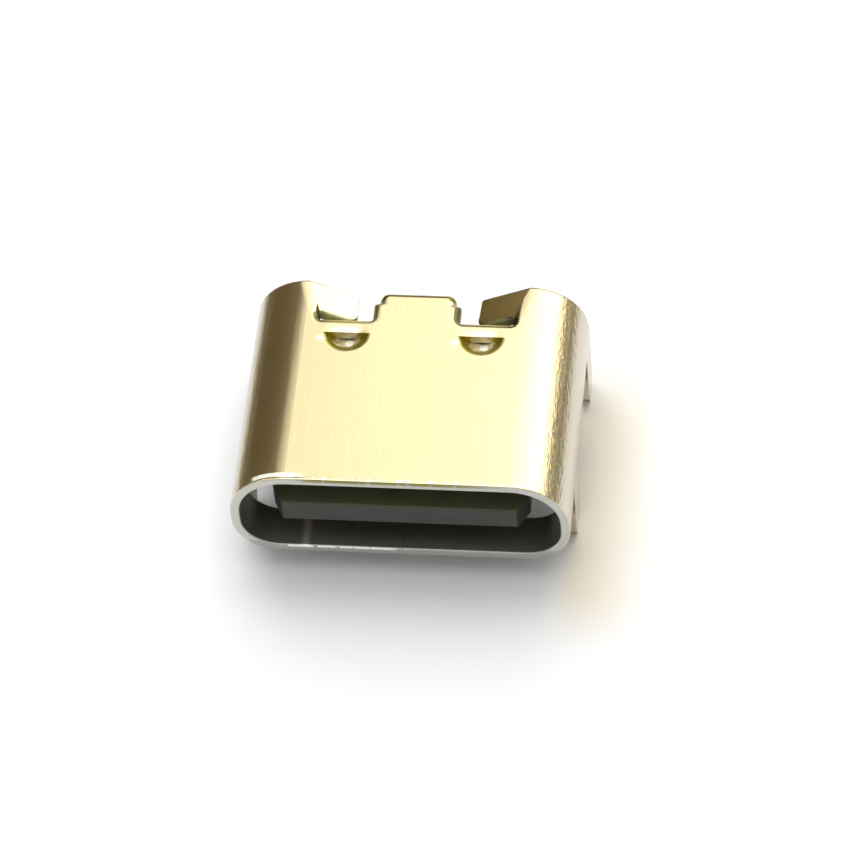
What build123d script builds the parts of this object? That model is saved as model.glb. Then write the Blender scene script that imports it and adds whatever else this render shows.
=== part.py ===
from build123d import *
import os

os.makedirs("parts", exist_ok=True)

# Millimetres. X runs across the socket, Y from the mouth to the rear, Z up.
# The origin is on the board plane, under the middle of the shell.
# A depth is measured from the mouth, and a setback from the shell's rear edge.

# Shell: one strip of thin steel, rolled to a flat tube round the plug's opening
opening_width = 8.34
opening_height = 2.56
shell_wall = 0.25
lower_corner_radius = 0.95
shell_length = 6.70
mouth_edge_radius = 0.05
rear_edge_radius = 0.08
seam_gap = 0.012
cut_overrun = 1.0
edge_reach = 0.01

# Dovetail that locks the seam under the middle of the shell
dovetail_root_length = 0.90
dovetail_end_length = 1.30
dovetail_reach = 0.60

# Notch across the rear of the top, with a slot running out under each wing
notch_setback = 1.28
slot_width = 0.20
slot_end_x = 2.56
slot_corner_radius = 0.09
notch_roll_radius = 0.23

# Rear tab: the middle of the top, folded down behind the moulding
tab_root_half_width = 1.16
tab_half_width = 1.01
tab_step_setback = 0.70
tab_step_run = 0.06
tab_root_radius = 0.12
tab_setback = 0.28
tab_bend_radius = 0.04
tab_drop = 1.90
tab_corner_radius = 0.20

# Wings: the two ears beside the tab, pressed down to lock the moulding
wing_free_x = 1.48
wing_fold_rear_x = 2.95
wing_fold_angle = 24
wing_front_corner_radius = 0.30
wing_rear_corner_radius = 0.10
wing_roll_radius = 0.08

# Half dimples: sheared along their rear side and pushed into the tube
dimple_x = 1.78
dimple_line_setback = 1.78
dimple_radius = 0.58
dimple_push = 0.30
dimple_rim_radius = 0.14
dimple_wall_share = 0.64

# Board legs: four strips struck out of the lower corners of the tube
leg_root_drop = 0.25
leg_reach_below_board = 0.85
leg_tip_chamfer_y = 0.22
leg_tip_chamfer_z = 0.34
front_window_depth = 1.17
front_leg_depth = 1.35
front_leg_width = 1.00
front_window_width = 1.30
rear_leg_width = 0.90
rear_opening_setback = 0.95
window_inner_x = 2.80
window_corner_radius = 0.12

# Tongue: the thin blade in the mouth that carries the contacts
tongue_tip_depth = 0.12
tongue_width = 6.69
tongue_thickness = 0.70
tongue_tip_taper_x = 0.30
tongue_tip_taper_y = 0.55
tongue_edge_chamfer = 0.06
latch_depth = 1.35
latch_length = 0.95
latch_bite = 0.42
latch_corner_radius = 0.12

# Moulding behind the tongue: a thick base, then a flange that fills the tube
base_width = 7.10
base_length = 0.37
base_thickness = 1.34
base_edge_radius = 0.15
housing_clearance = 0.02
wing_lock_gap = 0.07

# Locating pegs under the flange, each tapered from its root to just below the board's top
peg_x = 2.89
peg_root_radius = 0.28
peg_radius = 0.25
peg_taper_drop = 0.08
peg_reach_below_board = 0.60
peg_tip_chamfer = 0.10
peg_hole_clearance = 0.05

# Carriers: two moulded bars that hold the contact rows inside the flange's side walls
carrier_side_wall = 0.55
carrier_half_height = 0.62
carrier_front_gap = 0.14
carrier_rear_setback = 1.00
carrier_edge_chamfer = 0.08
boss_half_width = 0.80

# Mid plate: the steel sheet between the two contact rows
mid_plate_thickness = 0.15
mid_plate_tip_inset = 0.30
mid_plate_side_inset = 0.04
mid_plate_rear_inset = 0.12

# Contacts: thin strips, flush with the tongue, bent down to flat tails behind
contact_thickness = 0.12
contact_width = 0.25
power_contact_width = 0.30
contact_pitch = 0.50
contact_start_depth = 1.05
power_contact_start_depth = 0.85
jog_start_setback = 2.55
jog_end_setback = 1.50
tail_width = 0.20
tail_drop_setback = 0.80
tail_bend_radius = 0.16
tail_foot_length = 1.30

# Worked out from the sizes above
shell_width = opening_width + 2 * shell_wall
shell_height = opening_height + 2 * shell_wall
axis_height = shell_height / 2
mouth_y = -shell_length / 2
rear_y = shell_length / 2
arc_centre_x = (opening_width - opening_height) / 2
side_x = shell_width / 2
leg_root_z = axis_height - leg_root_drop
notch_y = rear_y - notch_setback
tab_step_y = rear_y - tab_step_setback
slot_rear_y = notch_y + slot_width
dimple_line_y = rear_y - dimple_line_setback
flange_front_y = dimple_line_y + housing_clearance
flange_rear_y = slot_rear_y - wing_lock_gap
base_front_y = flange_front_y - base_length
carrier_half_width = opening_width / 2 - carrier_side_wall
carrier_front_y = flange_front_y + carrier_front_gap
carrier_rear_y = rear_y - carrier_rear_setback
peg_y = (flange_front_y + flange_rear_y) / 2
peg_root_height = peg_taper_drop + axis_height - carrier_half_height
tab_back_y = rear_y - tab_setback
tab_flap_front_y = tab_back_y - shell_wall - housing_clearance
tab_fold_y = tab_back_y - shell_wall - tab_bend_radius


# Shell

with BuildPart() as window_cutter:
    with BuildSketch(Plane.YZ.offset(window_inner_x)):
        with Locations((mouth_y + front_window_depth + front_window_width / 2, 0)):
            RectangleRounded(front_window_width, 2 * leg_root_z, window_corner_radius)
    extrude(amount=side_x + cut_overrun - window_inner_x)
    mirror(about=Plane.YZ)

with BuildPart() as rear_cutter:
    with BuildSketch(Plane.YZ):
        with Locations((rear_y - rear_opening_setback + shell_length / 2, 0)):
            RectangleRounded(shell_length, 2 * leg_root_z, window_corner_radius)
    extrude(amount=side_x + cut_overrun, both=True)

with BuildPart() as notch_cutter:
    with BuildSketch(Plane.XY.offset(axis_height)) as notch_plan:
        with BuildLine():
            Polyline(
                (-slot_end_x, notch_y),
                (slot_end_x, notch_y),
                (slot_end_x, slot_rear_y),
                (wing_fold_rear_x, rear_y),
                (wing_fold_rear_x, rear_y + cut_overrun),
                (-wing_fold_rear_x, rear_y + cut_overrun),
                (-wing_fold_rear_x, rear_y),
                (-slot_end_x, slot_rear_y),
                close=True,
            )
        make_face()
        fillet(notch_plan.vertices().group_by(Axis.Y)[0], slot_corner_radius)
    extrude(amount=shell_height)

with BuildPart() as dimple_pit:
    with BuildSketch(Plane.XZ):
        with BuildLine():
            TangentArc((0, -dimple_push), (-dimple_radius, 0), tangent=(-1, 0))
            Line((-dimple_radius, 0), (0, 0))
            Line((0, 0), (0, -dimple_push))
        make_face()
    revolve(axis=Axis.Z, revolution_arc=180)

bump_skin = shell_wall * dimple_wall_share
bump_radius = dimple_radius + bump_skin
with BuildPart() as dimple_bump:
    with BuildSketch(Plane.XZ):
        with BuildLine():
            TangentArc((0, -dimple_push - bump_skin), (-bump_radius, 0), tangent=(-1, 0))
            Line((-bump_radius, 0), (0, 0))
            Line((0, 0), (0, -dimple_push - bump_skin))
        make_face()
    revolve(axis=Axis.Z, revolution_arc=180)

wing_fold_axis = Axis(
    (slot_end_x, slot_rear_y, shell_height),
    (wing_fold_rear_x - slot_end_x, rear_y - slot_rear_y, 0),
)
with BuildPart() as flat_wing:
    with BuildSketch(Plane.XY.offset(shell_height)) as wing_plan:
        with BuildLine():
            Polyline(
                (slot_end_x, slot_rear_y),
                (wing_free_x, slot_rear_y),
                (wing_free_x, rear_y),
                (wing_fold_rear_x, rear_y),
                close=True,
            )
        make_face()
        front_corner = wing_plan.vertices().group_by(Axis.X)[0].sort_by(Axis.Y)[0]
        fillet(front_corner, wing_front_corner_radius)
        rear_corner = wing_plan.vertices().group_by(Axis.X)[0].sort_by(Axis.Y)[-1]
        fillet(rear_corner, wing_rear_corner_radius)
    extrude(amount=-shell_wall)
    wing_top = flat_wing.faces().sort_by(Axis.Z)[-1]
    fold_line = wing_top.edges().sort_by(Axis.X)[-1]
    fillet([edge for edge in wing_top.edges() if edge is not fold_line], wing_roll_radius)
folded_wing = flat_wing.part.rotate(wing_fold_axis, -wing_fold_angle)

with BuildPart() as rear_tab:
    with BuildSketch(Plane.YZ):
        with BuildLine():
            FilletPolyline(
                (notch_y, shell_height - shell_wall / 2),
                (tab_back_y - shell_wall / 2, shell_height - shell_wall / 2),
                (tab_back_y - shell_wall / 2, shell_height - tab_drop),
                radius=tab_bend_radius + shell_wall / 2,
            )
        trace(line_width=shell_wall)
    extrude(amount=tab_root_half_width, both=True)
    with BuildSketch(Plane.XY):
        with BuildLine():
            Polyline(
                (-tab_root_half_width, notch_y),
                (tab_root_half_width, notch_y),
                (tab_root_half_width, tab_step_y),
                (tab_half_width, tab_step_y + tab_step_run),
                (tab_half_width, rear_y),
                (-tab_half_width, rear_y),
                (-tab_half_width, tab_step_y + tab_step_run),
                (-tab_root_half_width, tab_step_y),
                close=True,
            )
        make_face()
    extrude(amount=shell_height, mode=Mode.INTERSECT)
    flap_end = rear_tab.faces().sort_by(Axis.Z)[0]
    fillet(flap_end.edges().sort_by(SortBy.LENGTH)[:2], tab_corner_radius)

# Each leg runs straight down from the widest line of the tube
with BuildPart() as legs:
    for leg_start, leg_width in (
        (mouth_y + front_leg_depth, front_leg_width),
        (rear_y - rear_leg_width, rear_leg_width),
    ):
        with BuildSketch(Plane.YZ.offset(side_x - shell_wall)):
            with BuildLine():
                Polyline(
                    (leg_start, axis_height),
                    (leg_start, leg_tip_chamfer_z - leg_reach_below_board),
                    (leg_start + leg_tip_chamfer_y, -leg_reach_below_board),
                    (leg_start + leg_width - leg_tip_chamfer_y, -leg_reach_below_board),
                    (leg_start + leg_width, leg_tip_chamfer_z - leg_reach_below_board),
                    (leg_start + leg_width, axis_height),
                    close=True,
                )
            make_face()
        extrude(amount=shell_wall)
    mirror(about=Plane.YZ)

with BuildPart() as shell:
    with BuildSketch(Plane.XZ.offset(-mouth_y)):
        # half-round sides above the widest line, tighter corners below it
        for half_height, corner_radius, mode in (
            (shell_height / 2, lower_corner_radius + shell_wall, Mode.ADD),
            (opening_height / 2, lower_corner_radius, Mode.SUBTRACT),
        ):
            half_width = arc_centre_x + half_height
            top_z = axis_height + half_height
            with BuildLine():
                FilletPolyline(
                    (-half_width, axis_height),
                    (-half_width, axis_height - half_height),
                    (half_width, axis_height - half_height),
                    (half_width, axis_height),
                    radius=corner_radius,
                )
                TangentArc((half_width, axis_height), (arc_centre_x, top_z), tangent=(0, 1))
                Line((arc_centre_x, top_z), (-arc_centre_x, top_z))
                TangentArc((-half_width, axis_height), (-arc_centre_x, top_z), tangent=(0, 1))
            make_face(mode=mode)
    extrude(amount=-shell_length)
    mouth_edges = shell.edges().group_by(Axis.Y)[0]
    fillet(mouth_edges, mouth_edge_radius)
    rear_face = shell.faces().sort_by(Axis.Y)[-1]
    fillet(rear_face.outer_wire().edges(), rear_edge_radius)
    # seam under the tube, with its dovetail
    with BuildSketch(Plane.XY):
        with BuildLine():
            Polyline(
                (0, mouth_y - cut_overrun),
                (0, -dovetail_root_length / 2),
                (dovetail_reach, -dovetail_end_length / 2),
                (dovetail_reach, dovetail_end_length / 2),
                (0, dovetail_root_length / 2),
                (0, rear_y),
            )
        trace(line_width=seam_gap)
    extrude(amount=shell_wall, mode=Mode.SUBTRACT)
    add(window_cutter.part, mode=Mode.SUBTRACT)
    add(rear_cutter.part, mode=Mode.SUBTRACT)
    add(notch_cutter.part, mode=Mode.SUBTRACT)
    with Locations((-peg_x, peg_y), (peg_x, peg_y)):
        Cylinder(peg_root_radius + peg_hole_clearance, axis_height, mode=Mode.SUBTRACT)
    for side in (-1, 1):
        dimple_spot = Location((side * dimple_x, dimple_line_y, shell_height))
        add(dimple_bump.part.moved(dimple_spot))
        add(dimple_pit.part.moved(dimple_spot), mode=Mode.SUBTRACT)
    dimple_rims = shell.faces().sort_by(Axis.Z)[-1].edges().filter_by(GeomType.CIRCLE)
    dimple_rims = dimple_rims.filter_by_position(Axis.Y, dimple_line_y - dimple_radius, dimple_line_y)
    fillet(dimple_rims, dimple_rim_radius)
    add(legs.part)
    add(rear_tab.part)
    root_corners = shell.edges().filter_by(Axis.Z)
    root_corners = root_corners.filter_by_position(Axis.Y, notch_y - edge_reach, notch_y + edge_reach)
    root_corners = root_corners.filter_by_position(Axis.X, -slot_end_x / 2, slot_end_x / 2)
    fillet(root_corners, tab_root_radius)
    rolled = shell.edges()
    rolled = rolled.filter_by_position(Axis.Z, shell_height - edge_reach, shell_height + edge_reach)
    rolled = rolled.filter_by_position(Axis.Y, notch_y - edge_reach, tab_fold_y - edge_reach)
    rolled = rolled.filter_by_position(Axis.X, edge_reach - slot_end_x, slot_end_x - edge_reach)
    fillet(rolled, notch_roll_radius)
    add(folded_wing)
    add(folded_wing.mirror(Plane.YZ))
shell.part.label = "shell"
export_step(shell.part, "parts/shell.step")

# Contacts

tail_z = contact_thickness / 2
upper_row_z = axis_height + tongue_thickness / 2 - contact_thickness / 2
lower_row_z = axis_height - tongue_thickness / 2 + contact_thickness / 2
jog_start_y = rear_y - jog_start_setback
jog_end_y = rear_y - jog_end_setback
tail_drop_y = rear_y - tail_drop_setback


def make_contact(pad_x, tail_x, row_z, width, start_depth):
    """One contact: a strip in its row, jogged aside in the moulding, then bent down to its tail."""
    start_y = mouth_y + start_depth
    with BuildPart() as contact:
        with BuildSketch(Plane.XY.offset(row_z - contact_thickness / 2)):
            with BuildLine():
                Polyline(
                    (pad_x - width / 2, start_y),
                    (pad_x + width / 2, start_y),
                    (pad_x + width / 2, jog_start_y),
                    (tail_x + tail_width / 2, jog_end_y),
                    (tail_x + tail_width / 2, carrier_rear_y),
                    (tail_x - tail_width / 2, carrier_rear_y),
                    (tail_x - tail_width / 2, jog_end_y),
                    (pad_x - width / 2, jog_start_y),
                    close=True,
                )
            make_face()
        extrude(amount=contact_thickness)
        with BuildSketch(Plane.YZ.offset(tail_x)):
            with BuildLine():
                FilletPolyline(
                    (carrier_rear_y, row_z),
                    (tail_drop_y, row_z),
                    (tail_drop_y, tail_z),
                    (tail_drop_y + tail_foot_length, tail_z),
                    radius=tail_bend_radius,
                )
            trace(line_width=contact_thickness)
        extrude(amount=tail_width / 2, both=True)
    return contact.part


# Places across the socket, in pitches: the pad on the tongue and its tail behind.
# The pads of the two rows lie back to back, and all tails stand in one line.
upper_place_shares = (
    ("contact_a1", -5.5, -6.7, True),
    ("contact_a4", -2.5, -5.1, True),
    ("contact_a5", -1.5, -2.5, False),
    ("contact_a6", -0.5, -0.5, False),
    ("contact_a7", 0.5, 0.5, False),
    ("contact_a8", 1.5, 2.5, False),
    ("contact_a9", 2.5, 5.1, True),
    ("contact_a12", 5.5, 6.7, True),
)
lower_place_shares = (
    ("contact_b12", -5.5, -6.1, True),
    ("contact_b9", -2.5, -4.5, True),
    ("contact_b8", -1.5, -3.5, False),
    ("contact_b7", -0.5, -1.5, False),
    ("contact_b6", 0.5, 1.5, False),
    ("contact_b5", 1.5, 3.5, False),
    ("contact_b4", 2.5, 4.5, True),
    ("contact_b1", 5.5, 6.1, True),
)


def make_row(place_shares, row_z):
    """All the contacts of one row, each saved under its own name."""
    row = []
    for name, pad_share, tail_share, carries_power in place_shares:
        contact = make_contact(
            pad_share * contact_pitch,
            tail_share * contact_pitch,
            row_z,
            power_contact_width if carries_power else contact_width,
            power_contact_start_depth if carries_power else contact_start_depth,
        )
        contact.label = name
        export_step(contact, f"parts/{name}.step")
        row.append(contact)
    return row


upper_row = make_row(upper_place_shares, upper_row_z)
lower_row = make_row(lower_place_shares, lower_row_z)

# Mid plate

mid_plate_front_y = mouth_y + tongue_tip_depth + mid_plate_tip_inset
mid_plate_rear_y = carrier_rear_y - mid_plate_rear_inset
mid_plate_half_width = tongue_width / 2 - mid_plate_side_inset
latch_y = mouth_y + latch_depth + latch_length / 2

with BuildPart() as mid_plate:
    with BuildSketch(Plane.XY.offset(axis_height - mid_plate_thickness / 2)) as plate_plan:
        with BuildLine():
            Polyline(
                (-mid_plate_half_width, mid_plate_front_y + tongue_tip_taper_y),
                (-mid_plate_half_width + tongue_tip_taper_x, mid_plate_front_y),
                (mid_plate_half_width - tongue_tip_taper_x, mid_plate_front_y),
                (mid_plate_half_width, mid_plate_front_y + tongue_tip_taper_y),
                (mid_plate_half_width, mid_plate_rear_y),
                (-mid_plate_half_width, mid_plate_rear_y),
                close=True,
            )
        make_face()
        with Locations((-tongue_width / 2, latch_y), (tongue_width / 2, latch_y)):
            RectangleRounded(2 * latch_bite, latch_length, latch_corner_radius, mode=Mode.SUBTRACT)
    extrude(amount=mid_plate_thickness)
mid_plate.part.label = "mid_plate"
export_step(mid_plate.part, "parts/mid_plate.step")

# Carriers and housing


def take_out_metal(*metal_parts):
    """Leave room in a moulding for the metal that it is moulded round."""
    for metal in metal_parts:
        add(metal, mode=Mode.SUBTRACT)


with BuildPart() as upper_carrier:
    with BuildSketch(Plane.XY.offset(axis_height)):
        with BuildLine():
            Polyline(
                (-carrier_half_width, carrier_front_y),
                (carrier_half_width, carrier_front_y),
                (carrier_half_width, carrier_rear_y),
                (boss_half_width, carrier_rear_y),
                (boss_half_width, tab_flap_front_y),
                (-boss_half_width, tab_flap_front_y),
                (-boss_half_width, carrier_rear_y),
                (-carrier_half_width, carrier_rear_y),
                close=True,
            )
        make_face()
    extrude(amount=carrier_half_height)
    chamfer(upper_carrier.edges().group_by(Axis.Y)[-1].group_by(Axis.Z)[-1], carrier_edge_chamfer)
    take_out_metal(*upper_row, mid_plate.part)
upper_carrier.part.label = "upper_carrier"
export_step(upper_carrier.part, "parts/upper_carrier.step")

with BuildPart() as lower_carrier:
    with BuildSketch(Plane.XY.offset(axis_height)):
        with Locations((0, (carrier_front_y + carrier_rear_y) / 2)):
            Rectangle(2 * carrier_half_width, carrier_rear_y - carrier_front_y)
    extrude(amount=-carrier_half_height)
    chamfer(lower_carrier.edges().group_by(Axis.Y)[-1].group_by(Axis.Z)[0], carrier_edge_chamfer)
    take_out_metal(*lower_row, mid_plate.part)
lower_carrier.part.label = "lower_carrier"
export_step(lower_carrier.part, "parts/lower_carrier.step")

tongue_tip_y = mouth_y + tongue_tip_depth
tongue_half_width = tongue_width / 2

with BuildPart() as housing:
    with BuildSketch(Plane.XY.offset(axis_height - tongue_thickness / 2)):
        with BuildLine():
            Polyline(
                (-tongue_half_width, tongue_tip_y + tongue_tip_taper_y),
                (-tongue_half_width + tongue_tip_taper_x, tongue_tip_y),
                (tongue_half_width - tongue_tip_taper_x, tongue_tip_y),
                (tongue_half_width, tongue_tip_y + tongue_tip_taper_y),
                (tongue_half_width, flange_front_y),
                (-tongue_half_width, flange_front_y),
                close=True,
            )
        make_face()
        with Locations((-tongue_half_width, latch_y), (tongue_half_width, latch_y)):
            RectangleRounded(2 * latch_bite, latch_length, latch_corner_radius, mode=Mode.SUBTRACT)
    extrude(amount=tongue_thickness)
    chamfer(housing.faces().sort_by(Axis.Y)[0].edges().filter_by(Axis.X), tongue_edge_chamfer)
    # thick base behind the tongue
    with BuildSketch(Plane.XZ.offset(-base_front_y)):
        with Locations((0, axis_height)):
            RectangleRounded(base_width, base_thickness, base_edge_radius)
    extrude(amount=base_front_y - flange_front_y)
    # flange that fills the tube
    with BuildSketch(Plane.XZ.offset(-flange_front_y)):
        with Locations((0, axis_height)):
            SlotOverall(
                opening_width - 2 * housing_clearance,
                opening_height - 2 * housing_clearance,
            )
    extrude(amount=flange_front_y - flange_rear_y)
    # pegs
    with BuildSketch(Plane.XY.offset(-peg_reach_below_board)):
        with Locations((-peg_x, peg_y), (peg_x, peg_y)):
            Circle(peg_radius)
    extrude(amount=peg_reach_below_board - peg_taper_drop)
    chamfer(housing.edges().group_by(Axis.Z)[0], peg_tip_chamfer)
    with Locations((-peg_x, peg_y, -peg_taper_drop), (peg_x, peg_y, -peg_taper_drop)):
        Cone(peg_radius, peg_root_radius, peg_root_height, align=(Align.CENTER, Align.CENTER, Align.MIN))
    # pocket for the two carriers
    with BuildSketch(Plane.XZ.offset(-carrier_front_y)):
        with Locations((0, axis_height)):
            Rectangle(2 * carrier_half_width, 2 * carrier_half_height)
    extrude(amount=carrier_front_y - flange_rear_y, mode=Mode.SUBTRACT)
    take_out_metal(*upper_row, *lower_row, mid_plate.part)
housing.part.label = "housing"
export_step(housing.part, "parts/housing.step")
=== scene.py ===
"""Finishes for the USB-C socket: its plated shell, black moulding, mid plate and contacts, on a plain studio stage."""
import math

import bpy
from bpy.props import FloatProperty, FloatVectorProperty, PointerProperty
from mathutils import Matrix, Vector


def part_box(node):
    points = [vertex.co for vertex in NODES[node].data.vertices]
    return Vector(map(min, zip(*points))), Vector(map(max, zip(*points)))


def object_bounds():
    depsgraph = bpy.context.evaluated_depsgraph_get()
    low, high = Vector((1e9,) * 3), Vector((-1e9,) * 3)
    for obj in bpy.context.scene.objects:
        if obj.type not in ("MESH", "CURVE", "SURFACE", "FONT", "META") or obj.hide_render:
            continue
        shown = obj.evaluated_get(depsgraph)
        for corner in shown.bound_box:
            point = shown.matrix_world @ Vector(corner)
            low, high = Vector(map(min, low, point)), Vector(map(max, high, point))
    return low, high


bl_info = {
    "name": "USB-C Socket Finishes",
    "version": (1, 0, 0),
    "blender": (4, 5, 0),
    "location": "View3D > Sidebar > Socket",
    "description": "Plating, moulding and contact finishes for a board-mounted socket, with its stage",
    "category": "Object",
}

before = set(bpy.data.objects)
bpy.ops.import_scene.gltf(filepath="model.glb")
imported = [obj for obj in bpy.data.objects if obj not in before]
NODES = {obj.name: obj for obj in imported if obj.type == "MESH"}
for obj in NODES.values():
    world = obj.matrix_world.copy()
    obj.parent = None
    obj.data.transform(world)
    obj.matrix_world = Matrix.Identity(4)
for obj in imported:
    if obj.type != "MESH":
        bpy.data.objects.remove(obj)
CAD_LOW, CAD_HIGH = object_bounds()
SHELL_LOW, SHELL_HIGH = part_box("shell")
MM = 0.001

# Places on the shell in millimetres. X is counted from the middle, either way
MOUTH_Y = SHELL_LOW[1] / MM
REAR_Y = SHELL_HIGH[1] / MM
AXIS_Z = 1.53
ROUND_X = 2.89
ROUND_OUTER = 1.47
TOP_FROM_Z = 2.6
CROWN = 0.07
TOP_HALF_WIDTH = 2.9
NOTCH_Y = REAR_Y - 1.28
NOTCH_END_X = 2.80
DIMPLE_X = 1.78
DIMPLE_Y = REAR_Y - 1.78
DIMPLE_RADIUS = 0.66
DIMPLE_SAG = 0.06
FOLD_X = 2.56
FOLD_Y = REAR_Y - 1.08
FOLD_ACROSS = 0.9406
FOLD_ALONG = 0.3396
FOLD_REACH = 0.30
FOLD_SAG = 0.05
GROOVE_HALF_WIDTH = 0.08
WING_X = 1.44
WING_FROM_Z = 2.5
WING_NORMAL = (0.382, 0.138, 0.914)
TAB_HALF_WIDTH = 1.2
TAB_BEND_Y = 2.76
FLAP_HALF_WIDTH = 1.0
FLAP_FROM_Y = 2.7
STEP_HALF_WIDTH = 1.5
LEG_X = 4.05
LEG_TOP_Z = 0.95
FLOOR_TO_Z = 0.6
STREAK_X = -2.56
TAIL_FROM_Y = 2.2

# Uneven ovals in and round each dimple: offset from its middle, half sizes, and the soft share of the rim. The pit
# floor's oval bounds painted reflection, the other three painted highlights
PIT_FLOOR = (0.0, -0.10, 0.38, 0.29, 0.25)
PIT_GLINT_SPOT = (0.07, -0.155, 0.13, 0.14, 0.25)
PALE_BAR = (0.06, 0.09, 0.34, 0.13, 0.5)
RIM_SPOT = (-0.68, -0.20, 0.17, 0.14, 0.8)

# Glow of the sheet behind the socket by its angle in degrees from upright, clockwise
SHEET_GLOW = (
    (-20, 0.0), (-12, 0.20), (-3, 0.38), (8, 0.65), (22, 0.95), (40, 1.5), (70, 1.6), (76, 1.3), (82, 0.0))
SHEET_FROM, SHEET_TO = -30.0, 90.0

# Dark cards stand in a ring round the socket
CARD_COUNT = 12

# The photograph's camera, in metres
CAMERA_PLACE = (0.013910, -0.076357, 0.098654)
CAMERA_RIGHT = Vector((0.99341, 0.09519, -0.06386))
CAMERA_UP = Vector((-0.03530, 0.78413, 0.61959))
CAMERA_BACK = Vector((0.10905, -0.61325, 0.78233))

# First input, second input and output of a Mix node by the kind of value
MIX_SOCKETS = {"FLOAT": (2, 3, 0), "VECTOR": (4, 5, 1), "RGBA": (6, 7, 2)}


# Sizes and colours


class SocketShellSettings(bpy.types.PropertyGroup):
    """Plated steel of the shell."""

    plating: FloatVectorProperty(
        name="Plating", description="Colour of the plated sheet", subtype="COLOR",
        size=3, min=0, max=1, default=(0.95, 0.80, 0.455))
    bounce: FloatVectorProperty(
        name="Bounce", description="Colour of the light that the shell throws on the paper", subtype="COLOR",
        size=3, min=0, max=1, default=(0.50, 0.51, 0.50))
    # Painted reflection: the round sides and the legs' sides greyer and darker than the plating, where they mirror the
    # floor
    side_reflection: FloatVectorProperty(
        name="Side Reflection", description="Colour of the thinner plating down the sides", subtype="COLOR",
        size=3, min=0, max=1, default=(0.66, 0.60, 0.50))
    cut_edge: FloatVectorProperty(
        name="Cut Edge", description="Colour of the sheared edges", subtype="COLOR",
        size=3, min=0, max=1, default=(0.59, 0.585, 0.535))
    # Painted shade: the rolled edges darker and more olive than the plating, where they turn away from the bright room
    rolled_edge_shade: FloatVectorProperty(
        name="Rolled Edge Shade", description="Colour of the rolled edges round the notch and the wings", subtype="COLOR",
        size=3, min=0, max=1, default=(0.42, 0.39, 0.17))
    wing_front: FloatVectorProperty(
        name="Wing Front", description="Colour of the dull sheared front of each folded wing", subtype="COLOR",
        size=3, min=0, max=1, default=(0.45, 0.38, 0.17))
    # Painted reflection: the right wing brown where it mirrors a dark part of the room
    right_wing_reflection: FloatVectorProperty(
        name="Right Wing Reflection", description="Colour of the right wing's thicker plating", subtype="COLOR",
        size=3, min=0, max=1, default=(0.74, 0.57, 0.22))
    # Painted shade and reflection: the dimples dark brown inside, their creased floors lighter in patches
    pit: FloatVectorProperty(
        name="Dimple Pit Shade", description="Colour inside the two dimples", subtype="COLOR",
        size=3, min=0, max=1, default=(0.44, 0.37, 0.07))
    pit_floor_shade: FloatVectorProperty(
        name="Pit Floor Shade", description="Colour of the dimples' creased floor", subtype="COLOR",
        size=3, min=0, max=1, default=(0.52, 0.43, 0.23))
    burr: FloatVectorProperty(
        name="Burr", description="Colour of the fine burr over the mouth", subtype="COLOR",
        size=3, min=0, max=1, default=(0.30, 0.28, 0.11))
    # Painted highlight: near white on the beads and glare above the mouth, the dimples' glint spots and the left wing's
    # thin edges
    painted_highlight: FloatVectorProperty(
        name="Bead", description="Colour of the bright beads along the burr", subtype="COLOR",
        size=3, min=0, max=1, default=(0.98, 0.96, 0.80))
    # Painted shade: a dark line along the thin rear edge and the tab's bend
    edge_shade: FloatVectorProperty(
        name="Edge Shade", description="Colour of the thin rear edge and of the tab's bend", subtype="COLOR",
        size=3, min=0, max=1, default=(0.22, 0.155, 0.01))
    # Painted shade: each leg's sheared front darker at its top, under the shell
    leg_front_shade: FloatVectorProperty(
        name="Leg Front Shade", description="Colour at the top of each leg's sheared front", subtype="COLOR",
        size=3, min=0, max=1, default=(0.30, 0.26, 0.17))
    glint: FloatVectorProperty(
        name="Glint", description="Colour of the bright line along the lower lip", subtype="COLOR",
        size=3, min=0, max=1, default=(0.97, 0.97, 0.96))
    # Painted shade: the lower lip darker than the other sheared edges
    low_lip_shade: FloatVectorProperty(
        name="Low Lip Shade", description="Colour of the mouth's lower lip", subtype="COLOR",
        size=3, min=0, max=1, default=(0.42, 0.425, 0.40))
    # Painted shade: the tube's inner faces darker and greyer than the plating
    inside: FloatVectorProperty(
        name="Inside", description="Colour of the tube's inner face", subtype="COLOR",
        size=3, min=0, max=1, default=(0.37, 0.38, 0.33))
    # Painted reflection: a pale bluish streak along the tube's floor
    streak_reflection: FloatVectorProperty(
        name="Streak Reflection", description="Colour of the wiped streak along the tube's floor", subtype="COLOR",
        size=3, min=0, max=1, default=(0.78, 0.80, 0.86))
    streak_width: FloatProperty(
        name="Streak Width", description="Width of one drawing mark across the shell",
        subtype="DISTANCE", unit="LENGTH", default=0.08 * MM, min=0.005 * MM, precision=6)
    roughness: FloatProperty(
        name="Roughness", description="Roughness of the plated sheet", subtype="FACTOR",
        default=0.24, min=0, max=1)


class SocketMouldingSettings(bpy.types.PropertyGroup):
    """Black moulded plastic of the housing and the carriers."""

    colour: FloatVectorProperty(
        name="Plastic", description="Colour of the moulding", subtype="COLOR",
        size=3, min=0, max=1, default=(0.038, 0.041, 0.034))
    # Painted light: the moulding's faces that look up lighter
    lit_upper_colour: FloatVectorProperty(
        name="Lit Upper Plastic", description="Colour of the moulding's faces that look up", subtype="COLOR",
        size=3, min=0, max=1, default=(0.085, 0.092, 0.045))
    # Painted reflection: the plating mirrored pale on the plastic in the slots in front of the wings
    plating_reflection: FloatVectorProperty(
        name="Plating Reflection", description="Colour of the plastic that the folded wings have scuffed", subtype="COLOR",
        size=3, min=0, max=1, default=(0.48, 0.38, 0.13))
    grain_size: FloatProperty(
        name="Grain Size", description="Size of the mould's spark grain",
        subtype="DISTANCE", unit="LENGTH", default=0.05 * MM, min=0.005 * MM, precision=6)


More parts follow.
